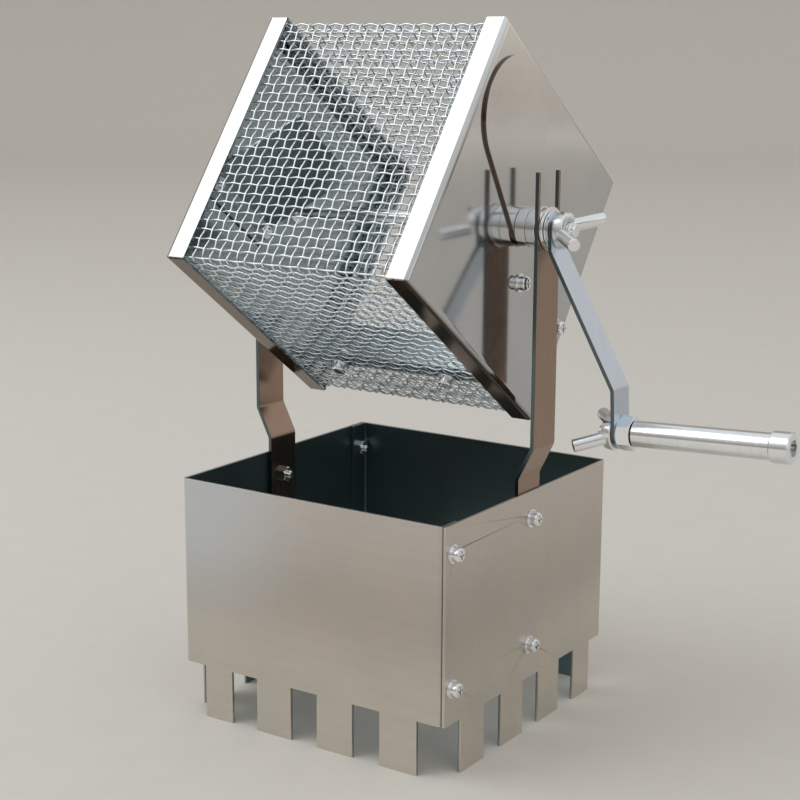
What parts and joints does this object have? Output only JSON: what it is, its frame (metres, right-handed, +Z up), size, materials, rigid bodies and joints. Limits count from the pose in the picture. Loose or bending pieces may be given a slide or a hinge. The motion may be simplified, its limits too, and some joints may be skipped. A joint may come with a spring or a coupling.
{
  "type": "stovetop coffee bean roaster",
  "caption": "Square wire-mesh drum with a hand crank, turning on a shaft in slotted straps above an open sheet-metal stand for a burner.",
  "frame": {"origin": "centre of the stand's open base, on the surface it stands on", "axes": "+X along the drum shaft to the crank, +Y to the back, +Z up"},
  "size_m": [0.2344, 0.1496, 0.2684],
  "materials": {
    "stand_sheet": "satin",
    "strap_steel": "satin",
    "polished_sheet": "polished",
    "cover_sheet": "polished",
    "vane_sheet": "satin",
    "mesh_wire": "bright drawn wire",
    "fastener_steel": "bright",
    "turned_steel": "turned, bright",
    "cast_steel": "cast, bright"
  },
  "bodies": {
    "stand": {"front_left_panel": "stand_sheet", "back_right_panel": "stand_sheet", "left_support": "strap_steel", "right_support": "strap_steel", "corner_screws": "fastener_steel", "support_screws": "fastener_steel", "stand_spring_washers": "fastener_steel", "stand_flat_washers": "fastener_steel", "stand_nuts": "fastener_steel"},
    "bearings": {"left_bush": "turned_steel", "right_bush": "turned_steel"},
    "drum": {"left_end_plate": "polished_sheet", "right_end_plate": "polished_sheet", "mesh_front_top": "mesh_wire", "mesh_top_back": "mesh_wire", "mesh_back_bottom": "mesh_wire", "mesh_bottom_front": "mesh_wire", "left_vane": "vane_sheet", "right_vane": "vane_sheet", "angle_vane": "vane_sheet", "end_vane_screws": "fastener_steel", "mesh_screws": "fastener_steel", "vane_spring_washers": "fastener_steel", "vane_flat_washers": "fastener_steel", "vane_nuts": "fastener_steel", "shaft": "turned_steel", "left_collar": "turned_steel", "right_collar": "turned_steel", "plate_nuts": "fastener_steel", "crank_washer": "fastener_steel", "left_washer": "fastener_steel", "left_shaft_nut": "fastener_steel", "crank_arm": "strap_steel", "handle_screw": "fastener_steel", "handle_nut": "fastener_steel"},
    "port_cover": {"port_cover": "cover_sheet"},
    "handle_sleeve": {"handle_sleeve": "turned_steel"},
    "crank_wing_nut": {"crank_wing_nut": "cast_steel"},
    "handle_wing_nut": {"handle_wing_nut": "cast_steel"}
  },
  "joints": [
    {"name": "drum_lift", "type": "slide", "parent": "stand", "child": "bearings", "axis": [0, 0, 1], "range_m": [0, 0.036]},
    {"name": "drum_spin", "type": "hinge", "parent": "bearings", "child": "drum", "pos_m": [0, 0, 0.1936], "axis": [1, 0, 0], "continuous": true},
    {"name": "cover_swing", "type": "hinge", "parent": "drum", "child": "port_cover", "pos_m": [0.0541, 0, 0.1936], "axis": [1, 0, 0], "range_deg": [-115, 115]},
    {"name": "sleeve_spin", "type": "hinge", "parent": "drum", "child": "handle_sleeve", "pos_m": [0.0965, 0, 0.1224], "axis": [0.9989, 0, 0.0471], "continuous": true},
    {"name": "crank_wing_nut_turn", "type": "hinge", "parent": "drum", "child": "crank_wing_nut", "pos_m": [0.073, 0, 0.1936], "axis": [1, 0, 0], "continuous": true},
    {"name": "handle_wing_nut_turn", "type": "hinge", "parent": "drum", "child": "handle_wing_nut", "pos_m": [0.0965, 0, 0.1224], "axis": [0.9989, 0, 0.0471], "continuous": true}
  ]
}
